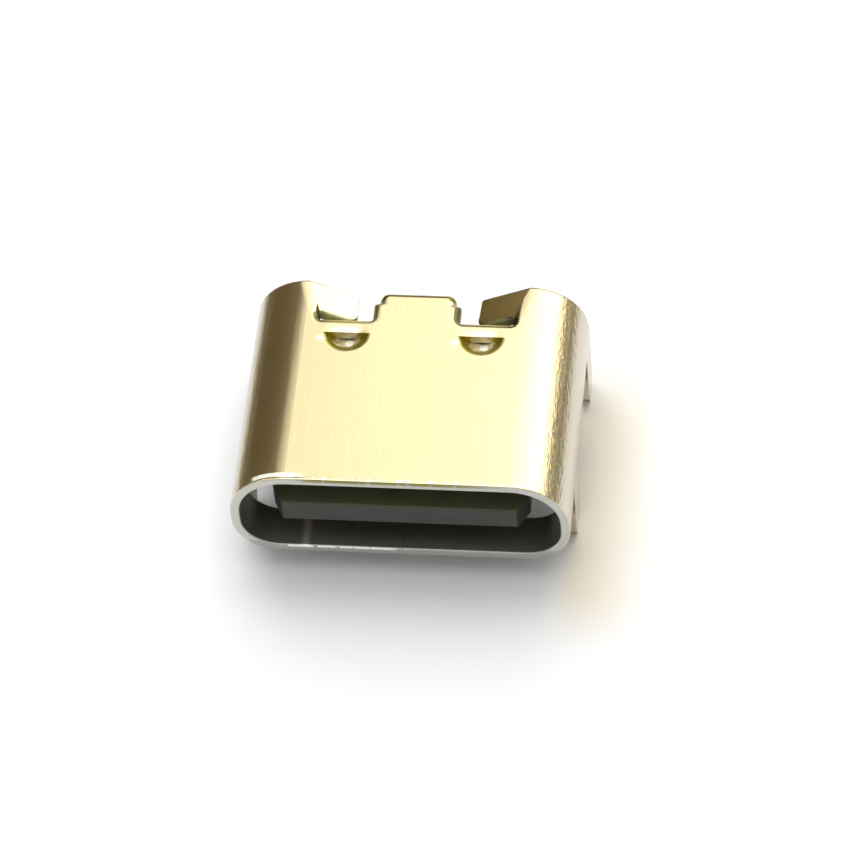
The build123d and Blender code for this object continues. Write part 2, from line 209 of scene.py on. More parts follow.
class SocketContactSettings(bpy.types.PropertyGroup):
    """Plated strips of the contacts and the steel sheet between them."""

    gold: FloatVectorProperty(
        name="Gold", description="Colour of the plated contacts", subtype="COLOR",
        size=3, min=0, max=1, default=(0.90, 0.67, 0.27))
    tin: FloatVectorProperty(
        name="Tin", description="Colour of the tinned tail ends", subtype="COLOR",
        size=3, min=0, max=1, default=(0.72, 0.71, 0.68))
    steel: FloatVectorProperty(
        name="Plate Steel", description="Colour of the mid plate", subtype="COLOR",
        size=3, min=0, max=1, default=(0.60, 0.60, 0.60))


class SocketStageSettings(bpy.types.PropertyGroup):
    """Paper, cards, lamps and camera."""

    paper: FloatVectorProperty(
        name="Paper", description="Colour of the paper under the socket", subtype="COLOR",
        size=3, min=0, max=1, default=(0.895, 0.90, 0.895))
    # Painted light: warm light bounced from the shell onto the paper beside its right side
    warm_bounce: FloatVectorProperty(
        name="Warm Bounce", description="Colour of the paper beside the socket's right side", subtype="COLOR",
        size=3, min=0, max=1, default=(0.85, 0.775, 0.645))
    card: FloatVectorProperty(
        name="Card", description="Colour of the dark cards that the shell mirrors", subtype="COLOR",
        size=3, min=0, max=1, default=(0.150, 0.122, 0.083))
    shaded_card: FloatVectorProperty(
        name="Shaded Card", description="Colour of the card that the right side mirrors", subtype="COLOR",
        size=3, min=0, max=1, default=(0.20, 0.19, 0.165))
    paper_radius: FloatProperty(
        name="Paper Radius", description="Radius of the paper", subtype="DISTANCE",
        unit="LENGTH", default=160 * MM, min=20 * MM, precision=4)
    focal_length: FloatProperty(
        name="Focal Length", description="Focal length of the camera in millimetres",
        default=200.45, min=20, max=1000)


SETTINGS = (
    ("socket_shell", SocketShellSettings),
    ("socket_moulding", SocketMouldingSettings),
    ("socket_contacts", SocketContactSettings),
    ("socket_stage", SocketStageSettings),
)


# Node helpers


def new_material(name):
    """An empty node material with its output."""
    material = bpy.data.materials.new(name)
    material.use_nodes = True
    tree = material.node_tree
    tree.nodes.clear()
    output = tree.nodes.new("ShaderNodeOutputMaterial")
    return material, tree, output


def fill_input(tree, socket, value):
    """Links an output to an input, or sets the input's own value."""
    if isinstance(value, bpy.types.NodeSocket):
        tree.links.new(value, socket)
    elif socket.type == "RGBA" and len(value) == 3:
        socket.default_value = (*value, 1)
    else:
        socket.default_value = value


def add_node(tree, kind, inputs=None, **settings):
    """Adds one node, sets its properties and fills its inputs with values or links."""
    node = tree.nodes.new(kind)
    for key, value in settings.items():
        setattr(node, key, value)
    for key, value in (inputs or {}).items():
        fill_input(tree, node.inputs[key], value)
    return node


def math_node(tree, operation, first, second=0.0, clamp=False):
    """One Math node's result."""
    node = add_node(tree, "ShaderNodeMath", {0: first, 1: second}, operation=operation, use_clamp=clamp)
    return node.outputs[0]


def product(tree, first, *others):
    """Multiplies numbers, in the order given."""
    for other in others:
        first = math_node(tree, "MULTIPLY", first, other)
    return first


def total(tree, first, *others):
    """Adds numbers, in the order given."""
    for other in others:
        first = math_node(tree, "ADD", first, other)
    return first


def minus(tree, first, second):
    """Takes the second number from the first."""
    return math_node(tree, "SUBTRACT", first, second)


def outside(tree, mask):
    """The rest of a mask: 1 where it is 0."""
    return minus(tree, 1.0, mask)


def larger(tree, first, second):
    """The larger of two numbers."""
    return math_node(tree, "MAXIMUM", first, second)


def above(tree, value, limit):
    """1 where a number is above a limit."""
    return math_node(tree, "GREATER_THAN", value, limit)


def below(tree, value, limit):
    """1 where a number is below a limit."""
    return math_node(tree, "LESS_THAN", value, limit)


def size_of(tree, value):
    """A number without its sign."""
    return math_node(tree, "ABSOLUTE", value)


def length_of(tree, first, second):
    """The length of a step along two axes."""
    return math_node(tree, "SQRT", total(tree, product(tree, first, first), product(tree, second, second)))


def ramp_value(tree, value, low, high, smooth=True):
    """Runs from 0 at low to 1 at high."""
    node = add_node(
        tree, "ShaderNodeMapRange", {"Value": value, "From Min": low, "From Max": high},
        interpolation_type="SMOOTHSTEP" if smooth else "LINEAR", clamp=True)
    return node.outputs[0]


def mix(tree, share, first, second, kind="FLOAT"):
    """Mixes two numbers, vectors or colours by a share."""
    low, high, result = MIX_SOCKETS[kind]
    node = add_node(tree, "ShaderNodeMix", {0: share, low: first, high: second}, data_type=kind)
    return node.outputs[result]


def mix_colour(tree, share, first, second):
    """Mixes two colours by a share."""
    return mix(tree, share, first, second, kind="RGBA")


def scaled(tree, value, scale):
    """A colour or a vector times a number."""
    return add_node(tree, "ShaderNodeVectorMath", {0: value, "Scale": scale}, operation="SCALE").outputs[0]


def object_coordinates(tree):
    """The piece's own coordinates, in metres."""
    return tree.nodes.new("ShaderNodeTexCoord").outputs["Object"]


def group_tree(name, inputs=()):
    """A new shader node group with named number inputs."""
    tree = bpy.data.node_groups.new(name, "ShaderNodeTree")
    for socket in inputs:
        tree.interface.new_socket(socket, in_out="INPUT", socket_type="NodeSocketFloat")
    return tree, tree.nodes.new("NodeGroupInput")


def put_out(tree, results):
    """Gives a group one output for each named result."""
    for name, value in results.items():
        kind = "NodeSocketVector" if value.type == "VECTOR" else "NodeSocketFloat"
        tree.interface.new_socket(name, in_out="OUTPUT", socket_type=kind)
    node = tree.nodes.new("NodeGroupOutput")
    for name, value in results.items():
        tree.links.new(value, node.inputs[name])


def use_group(tree, name, inputs=None):
    """Places a group in a material or in another group."""
    node = tree.nodes.new("ShaderNodeGroup")
    node.node_tree = bpy.data.node_groups[name]
    for key, value in (inputs or {}).items():
        fill_input(tree, node.inputs[key], value)
    return node


# Node groups


def make_draw_marks():
    """Drawing marks along Y with a fine grain between them."""
    tree, group_in = group_tree("Draw Marks", ("Width", "Length", "Seed"))
    place = object_coordinates(tree)
    across = math_node(tree, "DIVIDE", 1.0, group_in.outputs["Width"])
    along = math_node(tree, "DIVIDE", 1.0, group_in.outputs["Length"])
    stretch = add_node(tree, "ShaderNodeCombineXYZ", {"X": across, "Y": along, "Z": across})
    stretched = add_node(tree, "ShaderNodeVectorMath", {0: place, 1: stretch.outputs[0]}, operation="MULTIPLY")

    def seeded_noise(vector, scale, detail, roughness):
        """A noise that changes with the group's seed."""
        noise = add_node(
            tree, "ShaderNodeTexNoise",
            {"Vector": vector, "W": group_in.outputs["Seed"], "Scale": scale, "Detail": detail, "Roughness": roughness},
            noise_dimensions="4D")
        return noise.outputs[0]

    marks = seeded_noise(stretched.outputs[0], 1.0, 3.0, 0.6)
    cloud = seeded_noise(place, 700.0, 3.0, 0.55)
    grain = seeded_noise(place, 24000.0, 2.0, 0.6)
    put_out(tree, {"Marks": marks, "Cloud": cloud, "Height": mix(tree, 0.35, marks, grain)})


def make_mould_grain():
    """Spark grain of a mould, with slow flow marks."""
    tree, group_in = group_tree("Mould Grain", ("Size",))
    place = object_coordinates(tree)
    scale = math_node(tree, "DIVIDE", 1.0, group_in.outputs["Size"])
    grain = add_node(
        tree, "ShaderNodeTexNoise", {"Vector": place, "Scale": scale, "Detail": 3.0, "Roughness": 0.65})
    flow = add_node(
        tree, "ShaderNodeTexNoise", {"Vector": place, "Scale": 900.0, "Detail": 2.0, "Distortion": 1.2})
    put_out(tree, {"Grain": grain.outputs[0], "Flow": flow.outputs[0]})


def make_place():
    """Object coordinates in millimetres, and the normal, split into numbers."""
    tree, _ = group_tree("Place")
    coords = tree.nodes.new("ShaderNodeTexCoord")
    place = add_node(tree, "ShaderNodeSeparateXYZ", {0: scaled(tree, coords.outputs["Object"], 1 / MM)}).outputs
    facing = add_node(tree, "ShaderNodeSeparateXYZ", {0: coords.outputs["Normal"]}).outputs
    results = {axis: place[axis] for axis in "XYZ"}
    results.update({f"Normal {axis}": facing[axis] for axis in "XYZ"})
    put_out(tree, results)


class ShellForms:
    """Masks and soft heights of the pressed sheet, in one node group. Heights are in millimetres."""

    def __init__(self):
        self.tree, _ = group_tree("Shell Forms")
        tree = self.tree
        place = use_group(tree, "Place").outputs
        self.x, self.y, self.z = (place[axis] for axis in "XYZ")
        self.facing_x, self.facing_y, self.up = (place[f"Normal {axis}"] for axis in "XYZ")
        self.side = math_node(tree, "SIGN", self.x)
        self.across = size_of(tree, self.x)
        self.to_right = above(tree, self.x, 0.0)
        self.on_top = above(tree, self.z, TOP_FROM_Z)
        # distance outwards from the line where each wing is bent
        self.from_fold = minus(
            tree,
            product(tree, minus(tree, self.across, FOLD_X), FOLD_ACROSS),
            product(tree, minus(tree, self.y, FOLD_Y), FOLD_ALONG))
        # distances from the middle of the nearer dimple's flat wall
        self.beside = size_of(tree, minus(tree, self.across, DIMPLE_X))
        self.forward = minus(tree, self.y, DIMPLE_Y)
        self.wing = product(
            tree, above(tree, self.across, WING_X), above(tree, self.z, WING_FROM_Z),
            above(tree, self.y, FOLD_Y - 0.06), below(tree, self.across, TOP_HALF_WIDTH))
        self.on_tab = product(tree, below(tree, self.across, TAB_HALF_WIDTH), above(tree, self.y, TAB_BEND_Y))
        # distance from the tube's axis, and the faces that look towards it
        sideways = larger(tree, minus(tree, self.across, ROUND_X), 0.0)
        rise = minus(tree, self.z, AXIS_Z)
        self.radius = length_of(tree, sideways, rise)
        outwards = total(tree, product(tree, self.facing_x, self.side, sideways), product(tree, self.up, rise))
        self.inside = below(tree, outwards, -0.2)
        # uneven beads along the sheared edges of the mouth
        beads = add_node(
            tree, "ShaderNodeTexNoise", {"W": product(tree, self.x, 5.0), "Scale": 1.0, "Detail": 0.6},
            noise_dimensions="1D")
        self.beads = beads.outputs[0]

    def in_y(self, start, end):
        """Runs from 0 to 1 between two distances behind the mouth."""
        return ramp_value(self.tree, self.y, MOUTH_Y + start, MOUTH_Y + end)

    def sags(self):
        """The crown of the top, the bend beside each fold and the pull behind each dimple."""
        tree = self.tree
        share = math_node(tree, "DIVIDE", self.x, TOP_HALF_WIDTH)
        crown = product(tree, share, share, -CROWN)
        bend = ramp_value(tree, self.from_fold, FOLD_REACH, 0.0, smooth=False)
        bend = product(
            tree, bend, bend, -FOLD_SAG,
            ramp_value(tree, self.y, FOLD_Y - 0.25, FOLD_Y + 0.15), above(tree, self.across, 1.3))
        pull = ramp_value(tree, self.y, DIMPLE_Y + 0.42, DIMPLE_Y, smooth=False)
        pull = product(
            tree, pull, pull, -DIMPLE_SAG,
            ramp_value(tree, self.beside, 0.62, 0.25), above(tree, self.y, DIMPLE_Y))
        return {"Height": product(tree, total(tree, crown, bend, pull), self.on_top)}

    def smooth_normal(self, glint_spots):
        """The normal, with the wing's own carried over its groove, and straight up on the flat top and at the painted
        glint spots.
        """
        tree = self.tree
        folded = add_node(
            tree, "ShaderNodeCombineXYZ",
            {"X": product(tree, self.side, -WING_NORMAL[0]), "Y": WING_NORMAL[1], "Z": WING_NORMAL[2]})
        from_groove = size_of(tree, total(tree, self.from_fold, GROOVE_HALF_WIDTH))
        groove = product(
            tree, below(tree, from_groove, GROOVE_HALF_WIDTH), above(tree, self.y, FOLD_Y - 0.05),
            self.on_top, above(tree, self.up, 0.5))
        flat = product(tree, above(tree, self.up, 0.9985), self.on_top)
        normal = tree.nodes.new("ShaderNodeNewGeometry").outputs["Normal"]
        for share, other in ((flat, (0.0, 0.0, 1.0)), (groove, folded.outputs[0]), (glint_spots, (0.0, 0.0, 1.0))):
            normal = mix(tree, share, normal, other, kind="VECTOR")
        return normal

    def rolled_edges(self):
        """Rounded edges of the notch, the tab and the wings, but not the wings' folds or their flat tops; their colour
        is painted shade.
        """
        tree = self.tree
        by_fold = outside(tree, ramp_value(tree, size_of(tree, self.from_fold), 0.11, 0.16))
        behind = product(tree, ramp_value(tree, self.y, FOLD_Y - 0.02, FOLD_Y + 0.04), above(tree, self.up, 0.90))
        on_wing = product(
            tree, above(tree, self.across, WING_X), above(tree, self.up, 0.905), above(tree, self.y, FOLD_Y))
        past_step = product(
            tree, ramp_value(tree, self.y, REAR_Y - 0.80, REAR_Y - 0.68),
            below(tree, self.across, STEP_HALF_WIDTH), self.to_right, 0.85)
        rolled = product(
            tree, ramp_value(tree, self.up, 0.995, 0.93), self.on_top,
            outside(tree, product(tree, behind, by_fold)),
            above(tree, self.y, NOTCH_Y - 0.33), below(tree, self.across, NOTCH_END_X),
            outside(tree, on_wing), outside(tree, self.on_tab), outside(tree, past_step))
        return {"Rolled": rolled, "Slot End": ramp_value(tree, self.across, 2.3, 2.55)}

    def wings(self):
        """The folded wings: their sheared fronts, the right one's painted reflection and the painted highlight on the
        left one's thin edges.
        """
        tree = self.tree
        folded = product(tree, self.wing, below(tree, self.from_fold, 0.0))
        thin = product(
            tree, ramp_value(tree, self.up, 0.90, 0.80), above(tree, self.facing_y, -0.3),
            outside(tree, self.to_right))
        return {
            "Wing Front": product(tree, self.wing, ramp_value(tree, self.facing_y, -0.5, -0.8)),
            "Right Wing Reflection": product(tree, folded, self.to_right),
            "Left Edge Glint": product(tree, folded, thin)}

    def upper_lip(self):
        """The mouth's sheared face, the burr along its top, and the beads and the glare behind the burr, both given a
        painted highlight.
        """
        tree = self.tree
        outer = product(tree, above(tree, self.radius, ROUND_OUTER), ramp_value(tree, self.z, 2.55, 2.9))
        broken = math_node(tree, "ADD", 0.62, ramp_value(tree, self.beads, 0.66, 0.44), clamp=True)
        burr = product(
            tree, self.in_y(0.030, 0.020), ramp_value(tree, self.radius, 1.415, 1.440), broken,
            ramp_value(tree, self.x, 3.3, 1.2), ramp_value(tree, self.x, -2.9, -2.0),
            ramp_value(tree, self.z, 2.80, 2.98))
        glare = product(
            tree, ramp_value(tree, self.x, -3.95, -3.6), ramp_value(tree, self.x, -2.2, -3.0), outer,
            self.in_y(0.05, 0.08), self.in_y(0.23, 0.19))
        tilt = ramp_value(tree, self.y, MOUTH_Y + 0.23, MOUTH_Y + 0.05, smooth=False)
        bright = product(
            tree, self.in_y(0.13, 0.10), self.in_y(0.02, 0.04), ramp_value(tree, self.beads, 0.48, 0.60), outer)
        return {
            "Lip": self.in_y(0.026, 0.012),
            "Burr": burr,
            "Rim Tilt": product(tree, glare, tilt, -0.07),
            "Bead Glints": larger(tree, bright, glare)}

    def lower_lip(self):
        """The lower lip's painted shade, the broken painted glint along it, and the painted reflection of a streak on
        the floor behind it.
        """
        tree = self.tree
        low = product(tree, ramp_value(tree, self.z, 0.5, 0.3), self.in_y(0.09, 0.06))
        glint = product(
            tree, ramp_value(tree, self.z, 0.165, 0.20), ramp_value(tree, self.beads, 0.30, 0.50),
            ramp_value(tree, self.x, -3.3, -2.9), ramp_value(tree, self.x, 0.3, -0.5), low)
        streak = ramp_value(tree, size_of(tree, minus(tree, self.x, STREAK_X)), 0.17, 0.0)
        return {
            "Low Lip Shade": low,
            "Glint": glint,
            "Inside": self.inside,
            "Streak Reflection": product(tree, streak, below(tree, self.z, FLOOR_TO_Z))}

    def oval(self, sway, across, along, half_width, half_length, soft):
        """An uneven oval in or beside each dimple."""
        tree = self.tree
        from_middle = minus(tree, self.x, product(tree, self.side, DIMPLE_X))
        far = length_of(
            tree,
            math_node(tree, "DIVIDE", minus(tree, from_middle, across), half_width),
            math_node(tree, "DIVIDE", minus(tree, self.forward, along), half_length))
        return ramp_value(tree, total(tree, far, sway), 1.0, 1.0 - soft)

    def dimples(self):
        """The two pits with their creased floors, and the spots of painted highlight in and beside them."""
        tree = self.tree
        coords = object_coordinates(tree)
        creases = add_node(tree, "ShaderNodeTexVoronoi", {"Vector": coords, "Scale": 5200.0, "Randomness": 1.0})
        waver = add_node(tree, "ShaderNodeTexNoise", {"Vector": coords, "Scale": 9000.0, "Detail": 1.0})
        sway = product(tree, minus(tree, waver.outputs[0], 0.5), 0.5)
        reach = length_of(tree, self.beside, self.forward)
        pit = product(
            tree, ramp_value(tree, reach, DIMPLE_RADIUS, DIMPLE_RADIUS - 0.09), self.on_top,
            below(tree, self.y, DIMPLE_Y + 0.005))
        deep = product(tree, self.oval(sway, *PIT_FLOOR), pit)
        tone = add_node(tree, "ShaderNodeSeparateXYZ", {0: creases.outputs["Color"]}).outputs[0]
        pit_glint = product(tree, self.oval(sway, *PIT_GLINT_SPOT), pit)
        bar = product(tree, self.oval(sway, *PALE_BAR), above(tree, self.y, DIMPLE_Y + 0.004), 0.85)
        beside_pit = product(tree, larger(tree, self.oval(sway, *RIM_SPOT), bar), self.on_top)
        return {
            "Pit": pit,
            "Deep": deep,
            "Facets": product(tree, creases.outputs["Distance"], 0.03, deep),
            "Patches": product(tree, tone, deep),
            "Glint Spots": larger(tree, pit_glint, beside_pit),
            "Normal": self.smooth_normal(pit_glint)}

    def sides_and_rear(self):
        """The legs' sheared fronts with painted shade at their tops, the round sides, and painted shade along the thin
        rear edge and the bend of the tab.
        """
        tree = self.tree
        leg = product(
            tree, below(tree, self.z, LEG_TOP_Z), above(tree, self.across, LEG_X),
            ramp_value(tree, self.facing_y, -0.6, -0.9), above(tree, self.y, MOUTH_Y + 0.2))
        sidelong = size_of(tree, self.facing_x)
        round_side = product(
            tree, ramp_value(tree, sidelong, 0.2, 0.45), ramp_value(tree, sidelong, 0.99, 0.9),
            outside(tree, larger(tree, self.inside, self.wing)))
        rear_line = product(
            tree, ramp_value(tree, self.y, REAR_Y - 0.09, REAR_Y - 0.05), above(tree, self.across, 2.5),
            ramp_value(tree, self.facing_y, 0.9, 0.7))
        bend_line = product(
            tree, self.on_tab, ramp_value(tree, self.up, 0.99, 0.94), above(tree, self.up, 0.05))
        return {
            "Leg Side": leg,
            "Leg Front Shade": product(tree, leg, ramp_value(tree, self.z, 0.15, 0.5)),
            "Round": round_side,
            "Edge Shade": larger(tree, rear_line, bend_line)}

    def finish(self):
        """Gives the group every form as an output."""
        results = {}
        for part in (
                self.sags, self.rolled_edges, self.wings, self.upper_lip, self.lower_lip, self.dimples,
                self.sides_and_rear):
            results.update(part())
        put_out(self.tree, results)


def make_groups():
    """The effects that the finishes use."""
    make_draw_marks()
    make_mould_grain()
    make_place()
    ShellForms().finish()


def give_material(names, material):
    """Puts one material in every slot of the named nodes."""
    if not names:
        raise RuntimeError(f"{material.name} has no piece to go on")
    for name in names:
        node = NODES[name]
        if not node.material_slots:
            node.data.materials.append(material)
        for slot in node.material_slots:
            slot.link = "OBJECT"
            slot.material = material


def end_material(tree, output, bump, surface):
    """Joins a bump and a shader to a material's output."""
    normal = add_node(tree, "ShaderNodeBump", bump).outputs[0]
    shader = add_node(tree, "ShaderNodeBsdfPrincipled", {**surface, "Normal": normal})
    tree.links.new(shader.outputs[0], output.inputs[0])


# Finishes


class SOCKET_OT_finish_shell(bpy.types.Operator):
    """Plate the rolled steel shell and leave its sheared edges bare"""

    bl_idname = "socket.finish_shell"
    bl_label = "Finish Shell"

    def execute(self, context):
        looks = context.scene.socket_shell
        material, tree, output = new_material("Plated Shell")
        marks = use_group(tree, "Draw Marks", {"Width": looks.streak_width, "Length": 1.6 * MM, "Seed": 1.0}).outputs
        place = use_group(tree, "Place").outputs
        forms = use_group(tree, "Shell Forms").outputs
        sheared = self.mask_sheared(tree, place, forms)
        colour = self.layer_colours(tree, looks, place, forms, sheared)
        tone = product(tree, mix(tree, marks["Cloud"], 0.96, 1.03), mix(tree, marks["Marks"], 0.93, 1.05))
        bounce = tree.nodes.new("ShaderNodeLightPath").outputs["Is Diffuse Ray"]
        colour = mix_colour(tree, bounce, scaled(tree, colour, tone), looks.bounce)
        end_material(
            tree, output,
            {"Height": self.add_heights(tree, marks, forms), "Strength": 1.0, "Distance": MM,
             "Normal": forms["Normal"]},
            {"Base Color": colour,
             "Roughness": self.mix_roughness(tree, looks, marks, forms, sheared),
             "Metallic": self.mask_metal(tree, forms)})
        give_material(("shell",), material)
        return {"FINISHED"}

    def mask_sheared(self, tree, place, forms):
        """Sheared faces look along Y, but the folded tab, the pits and the legs' fronts are apart."""
        along = ramp_value(tree, size_of(tree, place["Normal Y"]), 0.55, 0.9)
        flap = product(
            tree, below(tree, size_of(tree, place["X"]), FLAP_HALF_WIDTH), above(tree, place["Y"], FLAP_FROM_Y))
        sheared = larger(tree, product(tree, along, outside(tree, flap)), forms["Lip"])
        return product(tree, sheared, outside(tree, forms["Pit"]), outside(tree, forms["Leg Side"]))

    def layer_colours(self, tree, looks, place, forms, sheared):
        """Lays each form's colour over the plating, the last on top."""
        sides = ramp_value(tree, size_of(tree, place["Normal X"]), 0.72, 0.93)
        pit_floor_shade = scaled(tree, looks.pit_floor_shade, mix(tree, forms["Patches"], 0.75, 1.5))
        edge = looks.cut_edge
        for form, layer in (("Low Lip Shade", looks.low_lip_shade), ("Glint", looks.glint), ("Wing Front", looks.wing_front)):
            edge = mix_colour(tree, forms[form], edge, layer)
        # the rolled edge mirrors less of the room on the right and at the slots' ends
        shade = outside(tree, product(tree, above(tree, place["X"], 0.0), 0.6))
        shade = product(tree, shade, mix(tree, forms["Slot End"], 1.0, 0.55))
        # painted reflection on the sides, the right wing and the streak on the tube's floor; painted shade inside, in
        # the pits, on the lower lip, the rolled and rear edges and the legs' tops; painted highlights on the glint
        # spots, the beads and the left wing's edges
        layers = (
            (larger(tree, sides, forms["Leg Side"]), looks.side_reflection),
            (forms["Right Wing Reflection"], looks.right_wing_reflection),
            (forms["Inside"], mix_colour(tree, forms["Streak Reflection"], looks.inside, looks.streak_reflection)),
            (forms["Pit"], mix_colour(tree, forms["Deep"], looks.pit, pit_floor_shade)),
            (forms["Glint Spots"], looks.painted_highlight),
            (sheared, edge),
            (forms["Rolled"], scaled(tree, looks.rolled_edge_shade, shade)),
            (forms["Left Edge Glint"], looks.painted_highlight),
            (forms["Leg Front Shade"], looks.leg_front_shade),
            (forms["Burr"], looks.burr),
            (forms["Bead Glints"], looks.painted_highlight),
            (forms["Edge Shade"], looks.edge_shade))
        colour = looks.plating
        for share, layer in layers:
            colour = mix_colour(tree, share, colour, layer)
        return colour

    def mix_roughness(self, tree, looks, marks, forms, sheared):
        """Bright plating, and duller sheared, rolled, pressed and inner faces."""
        plated = total(tree, looks.roughness - 0.05, product(tree, marks["Marks"], 0.10))
        dull = sheared
        for form in ("Rolled", "Inside", "Pit"):
            dull = larger(tree, dull, forms[form])
        return mix(tree, product(tree, dull, outside(tree, forms["Glint Spots"])), plated, 0.44)

    def add_heights(self, tree, marks, forms):
        """Sags, drawing marks, beads, creases and the ripple down the round sides."""
        hatch = use_group(tree, "Draw Marks", {"Width": 0.09 * MM, "Length": 0.20 * MM, "Seed": 3.0}).outputs
        return total(
            tree, forms["Height"], product(tree, marks["Height"], 0.0022), product(tree, forms["Bead Glints"], 0.004),
            forms["Rim Tilt"], forms["Facets"], product(tree, hatch["Marks"], product(tree, forms["Round"], 0.014)))

    def mask_metal(self, tree, forms):
        """Bare metal, with matt shares on the wings' fronts, the creased floors and the painted highlight spots."""
        creased = product(tree, forms["Deep"], outside(tree, forms["Glint Spots"]))
        metal = outside(tree, product(tree, forms["Wing Front"], 0.8))
        metal = minus(tree, metal, product(tree, creased, 0.6))
        return minus(tree, metal, product(tree, forms["Glint Spots"], 0.8))


class SOCKET_OT_finish_moulding(bpy.types.Operator):
    """Give the housing and the carriers their black moulded plastic"""

    bl_idname = "socket.finish_moulding"
    bl_label = "Finish Moulding"

    def execute(self, context):
        looks = context.scene.socket_moulding
        material, tree, output = new_material("Black Moulding")
        grain = use_group(tree, "Mould Grain", {"Size": looks.grain_size}).outputs
        place = use_group(tree, "Place").outputs
        # painted reflection of the plating, pale on the plastic in the slot in front of each folded wing
        reflection_share = product(
            tree, ramp_value(tree, place["Z"], 2.5, 2.7), ramp_value(tree, place["Y"], NOTCH_Y - 0.12, NOTCH_Y - 0.04))
        # painted light on the faces that look up
        facing_up = ramp_value(tree, place["Normal Z"], 0.5, 0.9)
        colour = mix_colour(tree, facing_up, looks.colour, looks.lit_upper_colour)
        colour = mix_colour(tree, reflection_share, colour, looks.plating_reflection)
        end_material(
            tree, output,
            {"Height": grain["Grain"], "Strength": 0.35, "Distance": 0.006 * MM},
            {"Base Color": scaled(tree, colour, mix(tree, grain["Flow"], 0.75, 1.3)),
             "Roughness": mix(tree, grain["Grain"], 0.36, 0.56),
             "Metallic": 0.0, "Specular IOR Level": 0.40})
        give_material(("housing", "upper_carrier", "lower_carrier"), material)
        return {"FINISHED"}


class SOCKET_OT_finish_mid_plate(bpy.types.Operator):
    """Give the sheet between the contact rows its rolled steel"""

    bl_idname = "socket.finish_mid_plate"
    bl_label = "Finish Mid Plate"

    def execute(self, context):
        looks = context.scene.socket_contacts
        material, tree, output = new_material("Plate Steel")
        marks = use_group(tree, "Draw Marks", {"Width": 0.05 * MM, "Length": 0.9 * MM, "Seed": 4.0}).outputs
        end_material(
            tree, output,
            {"Height": marks["Height"], "Strength": 0.3, "Distance": 0.004 * MM},
            {"Base Color": scaled(tree, looks.steel, mix(tree, marks["Marks"], 0.85, 1.12)),
             "Roughness": mix(tree, marks["Cloud"], 0.28, 0.42), "Metallic": 1.0})
        give_material(("mid_plate",), material)
        return {"FINISHED"}


class SOCKET_OT_finish_contacts(bpy.types.Operator):
    """Plate the contacts with gold and tin the ends of their tails"""

    bl_idname = "socket.finish_contacts"
    bl_label = "Finish Contacts"

    def execute(self, context):
        looks = context.scene.socket_contacts
        material, tree, output = new_material("Contact Plating")
        marks = use_group(tree, "Draw Marks", {"Width": 0.04 * MM, "Length": 0.5 * MM, "Seed": 7.0}).outputs
        place = use_group(tree, "Place").outputs
        # tin creeps unevenly up each tail from the board
        wick = total(tree, place["Z"], product(tree, marks["Cloud"], -0.25))
        tinned = product(
            tree, ramp_value(tree, wick, 0.30, 0.12), ramp_value(tree, place["Y"], TAIL_FROM_Y, TAIL_FROM_Y + 0.25))
        colour = mix_colour(tree, tinned, looks.gold, looks.tin)
        end_material(
            tree, output,
            {"Height": marks["Height"], "Strength": 0.25, "Distance": 0.003 * MM},
            {"Base Color": scaled(tree, colour, mix(tree, marks["Marks"], 0.88, 1.08)),
             "Roughness": mix(tree, tinned, 0.22, 0.40), "Metallic": 1.0})
        give_material(sorted(name for name in NODES if name.startswith("contact_")), material)
        return {"FINISHED"}


# Stage


def end_matt(tree, output, colour):
    """Joins a matt shader with a faint fibre tone to the output of a paper's or a card's material."""
    fibre = add_node(
        tree, "ShaderNodeTexNoise", {"Vector": object_coordinates(tree), "Scale": 1800.0, "Detail": 4.0})
    tone = mix(tree, fibre.outputs[0], 0.985, 1.0)
    shader = add_node(
        tree, "ShaderNodeBsdfPrincipled",
        {"Base Color": scaled(tree, colour, tone), "Roughness": 0.9, "Specular IOR Level": 0.0})
    tree.links.new(shader.outputs[0], output.inputs[0])


def card_material(name, colour):
    """A matt card of one colour."""
    material, tree, output = new_material(name)
    end_matt(tree, output, colour)
    return material


def add_plane(name, centre, rotation, width, height, material):
    """A plane turned and sized in its mesh, so that it stands at the origin."""
    bpy.ops.object.select_all(action="DESELECT")
    bpy.ops.mesh.primitive_plane_add(size=1)
    plane = bpy.context.object
    plane.name = name
    scale = Matrix.Diagonal((width, height, 1, 1))
    plane.data.transform(Matrix.Translation(centre) @ rotation.to_4x4() @ scale)
    plane.data.materials.append(material)
    return plane


def mirror_only(thing):
    """Leaves a stage piece to mirror images alone."""
    for ray in ("camera", "diffuse", "shadow", "transmission", "volume_scatter"):
        setattr(thing, f"visible_{ray}", False)


def hang_lamp(name, direction, distance, width, height, radiance):
    """A soft rectangular white lamp that faces the socket."""
    data = bpy.data.lights.new(name, "AREA")
    data.shape = "RECTANGLE"
    data.size, data.size_y = width, height
    data.energy = radiance * math.pi * width * height
    lamp = bpy.data.objects.new(name, data)
    bpy.context.scene.collection.objects.link(lamp)
    towards = Vector(direction).normalized()
    lamp.location = towards * distance
    lamp.rotation_euler = towards.to_track_quat("Z", "Y").to_euler()
    return lamp


